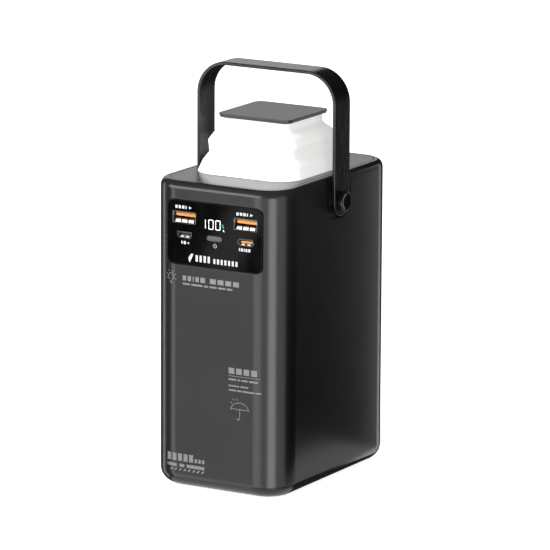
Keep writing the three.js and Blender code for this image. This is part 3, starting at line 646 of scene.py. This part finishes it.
def port_outline(name, by):
    """The outline of a port's can, grown by some distance. The micro port narrows below its middle."""
    _, _, middle, size = span(f"{name}_shell")
    w, h, r = size.x / 2 + by, size.z / 2 + by, PORTS[name]["r"]
    if r:
        return rounded_rect(w, h, r + by, middle.x, middle.z, steps=8)
    corners = ((-w, h), (-w, 0), (-0.8 * w, -h), (0.8 * w, -h), (w, 0), (w, h))
    return [(middle.x + x, middle.z + z) for x, z in corners]


def button_outline(by):
    w, h = BUTTON_HALF["w"] + by, BUTTON_HALF["h"] + by
    return rounded_rect(w, h, h, BUTTON_MID.x, BUTTON_MID.z, steps=12)


def build_panel():
    panel = prism("port_panel", "xz", panel_outline(0), PANEL_FACE, PANEL_BACK)
    ahead, behind = FRONT - PAST, PANEL_BACK + PAST
    holes = [prism("hole", "xz", port_outline(name, GAP), ahead, behind) for name in PORTS]
    holes.append(prism("slot", "xz", button_outline(GAP), ahead, behind))
    middle = span("display_module")[2]
    half_w, half_h, r, z, cover = DISPLAY_WAY.values()
    pocket = rounded_rect(half_w, half_h, r, middle.x, z, steps=4)
    holes.append(prism("display_way", "xz", pocket, PANEL_FACE + cover, behind))
    finished(soften(cut(panel, *holes), 0.14), "housing", "panel", LOOKS["panel"], "control_panel")


def merged(name, objects):
    """One object that holds the meshes of several."""
    bm = bmesh.new()
    for obj in objects:
        bm.from_mesh(obj.data)
        bpy.data.objects.remove(obj)
    mesh = bpy.data.meshes.new(name)
    bm.to_mesh(mesh)
    bm.free()
    whole = bpy.data.objects.new(name, mesh)
    bpy.context.scene.collection.objects.link(whole)
    return whole


# A spring's height along its length, both as shares: a steep curl at the mouth, then a long slope.
SPRING_CURVE = (
    (0, 0), (0.02, 0.45), (0.06, 0.8), (0.12, 0.95), (0.2, 1.0), (0.35, 0.95), (0.6, 0.62), (1, 0.08),
)
SPRING_THICK = 0.18
SPRING_START = 0.35             # how far in from the mouth a spring begins


def leaf_spring(name, x, width, mouth, length, base_z, rise):
    """A sprung contact finger that bulges up from the wall of a can."""
    under = [(mouth + SPRING_START + length * t, base_z + rise * lift) for t, lift in SPRING_CURVE]
    top = [(y + SPRING_THICK / 2, z + SPRING_THICK) for y, z in under]
    return prism(name, "yz", under + top[::-1], x - width / 2, x + width / 2)


def port_funnel(name, mouth):
    """The flare inside a can's mouth, which leaves only a thin lip."""
    rings = []
    for by, y in ((-LIP, mouth - PAST), (-LIP, mouth + 0.1), (-PORT_WALL, mouth + LIP_DEEP)):
        rings.append([(x, y, z) for x, z in port_outline(name, by)])
    return skin("funnel", rings)


def build_can(name):
    low, high, middle, size = span(f"{name}_shell")
    depth = PORTS[name]["depth"]
    wide = PORTS[name] is USB_A
    can = prism("can", "xz", port_outline(name, 0), low.y, high.y)
    inside_outline = port_outline(name, -PORT_WALL)
    inside = prism("inside", "xz", inside_outline, low.y + LIP_DEEP - 0.1, low.y + depth)
    can = soften(cut(can, inside, port_funnel(name, low.y)), 0.05, 2)
    can.name = f"{name}_can"
    finished(can, "housing", "port_metal", LOOKS["port_metal"], f"{name}_shell")
    fingers = []
    for i in range(3 if wide else 2):
        x = middle.x + (i - 1) * 3.7 if wide else middle.x + (i - 0.5) * size.x * 0.36
        width, rise, length = (2.9, 1.5, 6.0) if wide else (1.9, 0.6, 3.6)
        fingers.append(leaf_spring("spring", x, width, low.y, length, low.z + PORT_WALL, rise))
    # the springs take the brighter copy of the can's metal, which paints their highlight
    finished(soften(merged(f"{name}_springs", fingers), 0.05, 2), "housing", "port_metal", SPRING_METAL_PAINTED_BRIGHT)


def build_insert(name):
    """The plastic tongue with its row of contacts, rebuilt with rounded edges."""
    low, high, middle, _ = span(f"{name}_tongue")
    slot = "port_insert_black" if name == "micro_usb" else "port_insert"
    wide, tongue_low, tongue_high = PORTS[name]["tongue"]
    centre_z = span(f"{name}_shell")[2].z
    back_front = high.y - TONGUE_BLOCK
    block_part = block("back", low.x, high.x, back_front, high.y, low.z, high.z)
    tongue = block(
        "tongue", middle.x - wide, middle.x + wide, low.y, back_front + BITE,
        centre_z + tongue_low, centre_z + tongue_high,
    )
    insert = soften(joined(block_part, tongue), 0.12, 3)
    insert.name = f"{name}_insert"
    finished(insert, "housing", slot, LOOKS[slot], f"{name}_tongue")
    count = PORTS[name]["contacts"]
    pitch = 2 * wide * 0.86 / count
    contacts = []
    for i in range(count):
        x = middle.x + (i - (count - 1) / 2) * pitch
        z = centre_z + tongue_low
        left, right = x - pitch * 0.3, x + pitch * 0.3
        contacts.append(block("contact", left, right, low.y + 0.35, back_front, z - 0.12, z + 0.05))
    row = merged(f"{name}_contacts", contacts)
    finished(soften(row, 0.02, 2), "housing", "port_metal", GOLD)


def build_button():
    face, back = BUTTON_LOW.y, PANEL_BACK + GAP + FLANGE["thick"] - BITE
    rings = []
    for i in range(7):
        a = math.radians(90 * i / 6)
        rings.append((-BUTTON_ROUND * (1 - math.sin(a)), face + BUTTON_ROUND * (1 - math.cos(a))))
    cap = skin("button_face", [[(x, y, z) for x, z in button_outline(by)] for by, y in rings] + [
        [(x, back, z) for x, z in button_outline(0)],
    ])
    flange_front = PANEL_BACK + GAP
    half_w, half_h, r, thick = FLANGE.values()
    outline = rounded_rect(half_w, half_h, r, BUTTON_MID.x, BUTTON_MID.z)
    flange = prism("flange", "xz", outline, flange_front, flange_front + thick)
    stem_low = flange_front + (thick - BITE)
    stem = rod("stem", "y", STEM_R, stem_low, BUTTON_HIGH.y, BUTTON_MID.x, BUTTON_MID.z, 24)
    button = joined(cap, flange, stem)
    finished(soften(button, 0.08, 2), "power_button", "button", LOOKS["button"], "power_button")


# ------------------------------------------------------------------ printed marks

PRINT_PROUD = 0.02              # how far a mark stands out of its face
PRINT_DEEP = 0.06               # and how far it reaches in


def case_face(x):
    """Where the front of the case is at this X, round its upright corners too."""
    past = abs(x) - (HALF_W - CORNER_R)
    if past <= 0:
        return FRONT
    return FRONT + CORNER_R - math.sqrt(CORNER_R ** 2 - past ** 2)


def panel_face(x):
    return PANEL_FACE


class Print:
    """A sheet of marks that lies on a face: ribbons, bars and filled outlines, in face coordinates."""

    def __init__(self, face):
        self.face = face
        self.vertices = []
        self.faces = []

    def solid(self, rows):
        """Rows of (left, right) points make one closed strip, which follows the face."""
        start = len(self.vertices)
        for left, right in rows:
            corners = [(left, -PRINT_PROUD), (right, -PRINT_PROUD), (right, PRINT_DEEP), (left, PRINT_DEEP)]
            for (x, z), depth in corners:
                self.vertices.append((x, self.face(x) + depth, z))
        for i in range(len(rows) - 1):
            a, b = start + 4 * i, start + 4 * i + 4
            for k in range(4):
                n = (k + 1) % 4
                self.faces.append((a + k, a + n, b + n, b + k))
        end = start + 4 * (len(rows) - 1)
        self.faces.append((start + 3, start + 2, start + 1, start))
        self.faces.append((end, end + 1, end + 2, end + 3))

    def ribbon(self, points, width):
        rows = []
        for i, (x, z) in enumerate(points):
            before, after = points[max(i - 1, 0)], points[min(i + 1, len(points) - 1)]
            dx, dz = after[0] - before[0], after[1] - before[1]
            length = math.hypot(dx, dz)
            nx, nz = -dz / length * width / 2, dx / length * width / 2
            rows.append(((x + nx, z + nz), (x - nx, z - nz)))
        self.solid(rows)

    def line(self, x0, z0, x1, z1, width, steps=1):
        dx, dz = x1 - x0, z1 - z0
        self.ribbon([(x0 + dx * i / steps, z0 + dz * i / steps) for i in range(steps + 1)], width)

    def bar(self, x0, x1, z0, z1):
        steps = max(1, math.ceil((x1 - x0) / 2))
        self.line(x0, (z0 + z1) / 2, x1, (z0 + z1) / 2, z1 - z0, steps)

    def loop(self, cx, cz, rx, rz, width, start=0, end=360, steps=28):
        points = []
        for i in range(steps + 1):
            a = math.radians(start + (end - start) * i / steps)
            points.append((cx + rx * math.cos(a), cz + rz * math.sin(a)))
        self.ribbon(points, width)

    def dashes(self, x0, x1, z0, z1, pattern):
        """A row of plain bars across x0 to x1: each bar's width, in units of the space after it."""
        unit = (x1 - x0) / (sum(pattern) + len(pattern) - 1)
        x = x0
        for width in pattern:
            self.bar(x, x + width * unit, z0, z1)
            x += (width + 1) * unit

    def arrow(self, x, z, size, way):
        """A small solid arrowhead that points along X, to the right where way is 1."""
        tip, tail = x + way * size, x - way * size
        near, far = (tail, z + size), (tail, z - size)
        self.solid([(near, far), ((tip, z + 0.02), (tip, z - 0.02))])

    def finish(self, name, material):
        obj = tidy_mesh(new_object(name, self.vertices, self.faces))
        finished(obj, "housing", None, material)


def print_front():
    front = Print(case_face)
    bulb_x, bulb_z = -25, 107.9
    front.loop(bulb_x, bulb_z, 1.75, 1.75, 0.32, -60, 240)
    for z in (105.5, 104.8):
        front.line(-25.8, z, -24.2, z, 0.3)
    for turn in range(-20, 201, 44):
        a = math.radians(turn)
        ray = [(bulb_x + r * math.cos(a), bulb_z + r * math.sin(a)) for r in (2.5, 3.3)]
        front.line(*ray[0], *ray[1], 0.3)
    front.dashes(-18.1, -5.2, 106.7, 109.2, (2.2, 2.2, 0.7, 2.2, 3.0))
    front.dashes(-2.4, 14.2, 106.7, 109.2, (3.4, 3.4, 3.4, 3.4))
    front.dashes(-18.1, 10.5, 104.6, 105.5, (5, 8, 3, 5, 5, 4))
    front.dashes(8.5, 24.6, 62.9, 65.9, (3.2, 3.2, 3.2, 3.2))
    front.bar(8.5, 26.4, 61.7, 61.95)
    front.dashes(8.5, 25.2, 59.6, 60.5, (6, 2, 5, 7))
    front.dashes(8.5, 19.8, 56.5, 57.2, (9, 7))
    front.dashes(8.5, 26.8, 54.2, 55.0, (7, 4, 11, 5))
    umbrella(front, 14.9, 44.4)
    front.dashes(-27.2, -11.9, 14.6, 18.4, (2.6, 2.6, 2.6, 2.6, 2.6))
    front.dashes(-11.0, -5.4, 14.7, 16.6, (2, 2, 2))
    front.dashes(-27.2, -5.4, 11.6, 13.2, (4, 2, 7))
    for i in range(8):
        x = -25.6 + 2.6 * i
        front.solid([((x, 9.6), (x + 1.0, 9.6)), ((x + 1.1, 10.9), (x + 2.1, 10.9))])
    front.finish("front_print", GREY_INK)


def umbrella(sheet, x, z):
    """An open umbrella with three slanting strokes of rain: keep dry."""
    sheet.loop(x, z, 5.2, 4.2, 0.32, 5, 175, 30)
    for i in range(3):
        cx = x - 3.45 + 3.45 * i
        sheet.loop(cx, z + 0.3, 1.72, 0.7, 0.3, 0, 180, 12)
    sheet.line(x, z + 0.6, x, z - 3.6, 0.34)
    sheet.loop(x - 0.8, z - 3.6, 0.8, 0.9, 0.34, 180, 360, 12)
    for dx, dz in ((-5.2, 3.3), (-4.0, 5.0), (-2.0, 5.2)):
        sheet.line(x + dx, z + dz + 1.0, x + dx + 0.9, z + dz, 0.26)


def print_panel():
    panel = Print(panel_face)
    for x in (-17.5, 17.5):
        panel.dashes(x - 5.0, x + 1.5, 142.7, 144.2, (2, 2, 2, 1))
        panel.arrow(x + 3.6, 143.45, 0.75, 1)
    panel.dashes(-19.0, -16.4, 125.0, 126.5, (1, 2))
    panel.arrow(-15.2, 125.75, 0.6, -1)
    panel.dashes(14.0, 20.4, 125.0, 126.5, (1, 2, 1, 2, 2))
    panel.loop(0.3, 125.9, 0.85, 0.85, 0.24, 125, 415, 20)
    panel.line(0.3, 126.1, 0.3, 127.1, 0.24)
    bolt_top, bolt_waist = ((-13.4, 120.6), (-12.0, 120.6)), ((-15.0, 118.3), (-13.0, 118.4))
    panel.solid([bolt_top, bolt_waist, ((-14.3, 116.1), (-14.2, 116.1))])
    panel.dashes(-10.8, -2.6, 116.9, 120.2, (1.3, 1.3, 1.3, 1.3))
    panel.dashes(-0.6, 13.2, 116.9, 119.4, (1.2, 1.2, 1.2, 1.2, 1.2, 1.2, 1.2))
    panel.finish("panel_print", WHITE_INK)


SEGMENTS = {
    "1": "bc",
    "0": "abcdef",
}


def digit(sheet, shape, x, z, w, h, stroke):
    """A seven-segment digit whose lower left corner is at x, z."""
    gap = stroke * 0.3
    spots = {
        "a": ((x + gap, z + h), (x + w - gap, z + h)),
        "b": ((x + w, z + h - gap), (x + w, z + h / 2 + gap)),
        "c": ((x + w, z + h / 2 - gap), (x + w, z + gap)),
        "d": ((x + gap, z), (x + w - gap, z)),
        "e": ((x, z + h / 2 - gap), (x, z + gap)),
        "f": ((x, z + h - gap), (x, z + h / 2 + gap)),
    }
    for key in SEGMENTS[shape]:
        (x0, z0), (x1, z1) = spots[key]
        sheet.line(x0, z0, x1, z1, stroke)


def print_display():
    lit = Print(panel_face)
    for shape, x in (("1", -7.7), ("0", -3.3), ("0", 0.7)):
        digit(lit, shape, x, 134.1, 2.5, 4.6, 0.37)
    lit.line(4.9, 134.3, 5.5, 133.6, 0.4)
    lit.finish("display_digits", DIGITS)
    green = Print(panel_face)
    green.line(4.5, 136.6, 5.3, 135.0, 0.4)
    green.loop(4.6, 136.6, 0.32, 0.32, 0.3)
    green.finish("display_sign", GREEN)


# ------------------------------------------------------------------ lamp

LID_R = 4.4
PEG_R = 4.0
SHADE_BASE = {"x": 29.3, "y": 33.3, "r": 13.0}
SHADE_NECK = {"x": 18.6, "y": 18.9, "r": 4.6}
# Height above the shade's foot, and how far the section is from the neck's (0) to the base's (1).
SHADE_TIERS = (
    (-0.28, 1.0), (5.2, 0.81), (9.0, 0.57), (10.1, 0.58), (15.1, 0.62),
    (18.9, 0.39), (20.7, 0.17), (22.7, 0.05), (26.1, 0.03),
)


def shade_section(share, inset):
    return [SHADE_NECK[key] + (SHADE_BASE[key] - SHADE_NECK[key]) * share - inset for key in ("x", "y", "r")]


def shade_skin(name, tiers, inset):
    rings = []
    for height, share in tiers:
        half_x, half_y, r = shade_section(share, inset)
        rings.append([(x, y, SHADE_LOW.z + height) for x, y in rounded_rect(half_x, half_y, r, steps=14)])
    return skin(name, rings)


def build_shade():
    wall = 2.0
    roof = SHADE_SIZE.z - wall
    inner = [(h, s) for h, s in SHADE_TIERS if h < roof - 1]
    inner[0] = (-PAST, 1.0)
    inner.append((roof, inner[-1][1]))
    shade = cut(
        shade_skin("lamp_shade", SHADE_TIERS, 0),
        shade_skin("shade_inside", inner, wall),
        rod("peg_way", "z", PEG_R + GAP, SHADE_LOW.z + roof - PAST, CAP_HIGH.z),
    )
    finished(soften(shade, 0.5, 4, 12), "housing", "diffuser", LOOKS["diffuser"], "lamp_diffuser")


def build_lamp_cap():
    """A thin lid whose edge leans in below a crisp top, on its peg."""
    low, thick = SHADE_HIGH.z + GAP, CAP_HIGH.z - SHADE_HIGH.z - GAP
    rings = []
    for inset, z in ((0.5, low), (0.12, low + 0.6 * thick), (0, low + 0.8 * thick), (0, CAP_HIGH.z)):
        outline = rounded_rect(CAP_SIZE.x / 2 - inset, CAP_SIZE.y / 2 - inset, LID_R - inset, steps=14)
        rings.append([(x, y, z) for x, y in outline])
    cap = joined(skin("lamp_lid", rings), rod("peg", "z", PEG_R, CAP_LOW.z, low + BITE))
    finished(soften(cap, 0.14, 3, 40), "housing", "lamp_cap", LOOKS["lamp_cap"], "lamp_cap")


# ------------------------------------------------------------------ handle

STRAP_T = 1.7
STRAP_BEND = 16.6
LEG_EXTRA = 4                   # the legs are drawn this much too long, then rounded off
LEG_SLACK = 0.01                # keeps the rounded leg end off the strap's own edges
PIVOT_CAP = {"pocket": 3.75, "rim": 0.7, "floor": 0.75, "dish": 0.34}


def build_strap():
    half, top, low = STRAP_SIZE.x / 2, STRAP_HIGH.z, STRAP_LOW.z - LEG_EXTRA
    outline = [(half, low)]
    outline += arc(half - STRAP_BEND, top - STRAP_BEND, STRAP_BEND, 0, 90, 28)
    outline += arc(-half + STRAP_BEND, top - STRAP_BEND, STRAP_BEND, 90, 180, 28)
    outline.append((-half, low))
    inside, r = half - STRAP_T, STRAP_BEND - STRAP_T
    outline.append((-inside, low))
    outline += arc(-half + STRAP_BEND, top - STRAP_BEND, r, 180, 90, 28)
    outline += arc(half - STRAP_BEND, top - STRAP_BEND, r, 90, 0, 28)
    outline.append((inside, low))
    strap = prism("carry_strap", "xz", outline, STRAP_LOW.y, STRAP_HIGH.y)
    w = STRAP_SIZE.y / 2 + LEG_SLACK
    shape = [(w, top + PAST), (-w, top + PAST)] + list(arc(0, PIVOT_Z, w, 180, 360, 40))
    strap = boolean(strap, "INTERSECT", [prism("envelope", "yz", shape, -half - PAST, half + PAST)])
    strap = cut(strap, rod("bore", "x", PIVOT_HOLE_R, -half - PAST, half + PAST, 0, PIVOT_Z))
    finished(soften(weld(strap), 0.42, 3), "handle", "strap", LOOKS["strap"], "handle")


def build_pivot_caps():
    """A glossy button over each pivot screw, dished inside a round rim."""
    for side, node in ((1, "pivot_cap_right"), (-1, "pivot_cap_left")):
        low, high, middle, size = span(node)
        r, thick = size.y / 2, size.x
        start = low.x if side > 0 else high.x
        pocket, rim, floor, dish = PIVOT_CAP.values()
        profile = [(pocket, 0.0), (r - 0.15, 0.0), (r, 0.15), (r, thick - rim)]
        profile += [(r - rim + rim * math.cos(a), thick - rim + rim * math.sin(a)) for a in QUARTER]
        profile += [(r - 1.1, thick - 0.05), (r - 1.5, thick - 0.3)]
        profile += [(r - 2.2, thick - dish), (0, thick - dish)]
        profile += [(0, thick - floor), (pocket, thick - floor), (pocket, 0.0)]
        name = f"pivot_button_{node.split('_')[-1]}"
        cap = turned(name, profile, (side, 0, 0), (start, middle.y, middle.z), 72)
        finished(soften(cap, 0.05, 2), "handle", "pivot_cap", LOOKS["pivot_cap"], node)


# ------------------------------------------------------------------ studio

def camera():
    """A long lens to the right of the front, a little above it."""
    data = bpy.data.cameras.new("camera")
    data.lens = 317.3
    data.sensor_width = 36
    data.clip_start = 0.1
    data.clip_end = 30
    obj = bpy.data.objects.new("camera", data)
    bpy.context.scene.collection.objects.link(obj)
    azimuth, pitch, roll = (math.radians(angle) for angle in (30.39, 12.41, -0.303))
    flat = math.cos(pitch)
    back = Vector((math.sin(azimuth) * flat, -math.cos(azimuth) * flat, math.sin(pitch)))
    turn = (-back).to_track_quat("-Z", "Y").to_matrix().to_4x4()
    place = Matrix.Translation(Vector((1201.05, -2045.35, 622.81)) * MM)
    obj.matrix_world = place @ turn @ Matrix.Rotation(-roll, 4, "Z")
    bpy.context.scene.camera = obj


def softbox(
    name, azimuth, elevation, distance, width, height, level, aim=(0, 0, 90), roll=0, glossy=True,
):
    """An area light of even brightness that faces its aim. Azimuth runs from the front to the right.

    A glossy one only shows as a reflection, and the others light the matt surfaces alone.
    """
    data = bpy.data.lights.new(name, "AREA")
    data.shape = "RECTANGLE"
    data.size, data.size_y = width * MM, height * MM
    data.energy = 4 * level * data.size * data.size_y
    obj = bpy.data.objects.new(name, data)
    bpy.context.scene.collection.objects.link(obj)
    a, e = math.radians(azimuth), math.radians(elevation)
    out = Vector((math.sin(a) * math.cos(e), -math.cos(a) * math.cos(e), math.sin(e)))
    turn = (-out).to_track_quat("-Z", "Y").to_matrix().to_4x4()
    spin = Matrix.Rotation(math.radians(roll), 4, "Z")
    obj.matrix_world = Matrix.Translation((Vector(aim) + out * distance) * MM) @ turn @ spin
    obj.visible_camera = False
    obj.visible_glossy = glossy
    obj.visible_diffuse = not glossy


# The big softboxes round the room: left and right azimuth, lowest and highest elevation, brightness.
ROOM = 2000
BIG_SOFTBOXES = (
    ("front_left", -50, -35, -42, 4, 2.1),
    ("front_right", -26, 4, -42, 4, 1.9),
    ("right_dim", 6, 24, -42, 10, 0.8),
    ("right_strip", 28, 55, -42, 3, 3.6),
    ("right_edge", 60, 90, -42, 20, 0.9),
    ("left_strip", -98, -87, -42, 12, 1.7),
    ("back", 204, 236, 4, 26, 0.68),
)


def lights():
    softbox("key", -20, 36, 1500, 900, 900, 11, glossy=False)
    softbox("lamp_fill", 45, 8, 130, 60, 50, 6.5, aim=(25, -15, 170), glossy=False)
    softbox("back_fill", 205, 30, 1500, 1000, 800, 1.5, glossy=False)
    for name, left, right, low, high, level in BIG_SOFTBOXES:
        width = 2 * ROOM * math.tan(math.radians(right - left) / 2)
        height = 2 * ROOM * math.tan(math.radians(high - low) / 2)
        softbox(name, (left + right) / 2, (low + high) / 2, ROOM, width, height, level)
    softbox("brow", -30, 13, 300, 400, 85, 4.6, aim=(0, FRONT, 153))
    softbox("side", 150, -12, 56, 26, 240, 1.4, aim=(HALF_W, 76, 85))
    softbox("foot", 0, -90, 1, 36, 120, 0.55, aim=(64, 10, 0))
    softbox("ground", 0, -90, 300, 620, 620, 0.9, aim=(0, 0, 0))
    softbox("panel_sheen", -30, -12, 250, 20, 44, 0.5, aim=(8, PANEL_FACE, 133), roll=-30)


def backdrop():
    """A white floor that the camera sees, with no reflection or shadow of its own on the object."""
    reach = 3000
    corners = [(-reach, -reach, 0), (reach, -reach, 0), (reach, reach, 0), (-reach, reach, 0)]
    floor = new_object("floor", corners, [(0, 1, 2, 3)])
    finish = Finish("floor_paper", (0.9, 0.9, 0.9), 0.9, Emission_Color=(1, 1, 1, 1), Emission_Strength=0.94)
    finish.vary_roughness(finish.noise(0.01, 3), 0.85, 0.95)
    floor.data.materials.append(finish.material)
    floor.visible_glossy = False
    floor.visible_diffuse = False
    floor.visible_shadow = False


def surround():
    """A room that is white to the camera and nearly dark to the object."""
    world = bpy.data.worlds.new("room")
    bpy.context.scene.world = world
    world.use_nodes = True
    tree = world.node_tree
    near = next(n for n in tree.nodes if n.type == "BACKGROUND")
    near.inputs["Color"].default_value = (1, 1, 1, 1)
    near.inputs["Strength"].default_value = 0.025
    white = tree.nodes.new("ShaderNodeBackground")
    white.inputs["Color"].default_value = (1, 1, 1, 1)
    mix = tree.nodes.new("ShaderNodeMixShader")
    tree.links.new(tree.nodes.new("ShaderNodeLightPath").outputs["Is Camera Ray"], mix.inputs["Fac"])
    tree.links.new(near.outputs["Background"], mix.inputs[1])
    tree.links.new(white.outputs["Background"], mix.inputs[2])
    out = next(n for n in tree.nodes if n.type == "OUTPUT_WORLD")
    tree.links.new(mix.outputs["Shader"], out.inputs["Surface"])


def build():
    dress_cad_nodes()
    build_case()
    build_top_cover()
    build_base()
    build_feet()
    build_panel()
    for name in PORTS:
        build_can(name)
        build_insert(name)
    build_button()
    print_front()
    print_panel()
    print_display()
    build_shade()
    build_lamp_cap()
    build_strap()
    build_pivot_caps()
    camera()
    backdrop()
    surround()
    lights()


build()
bpy.context.scene.view_settings.view_transform = "Standard"
bpy.context.view_layer.update()
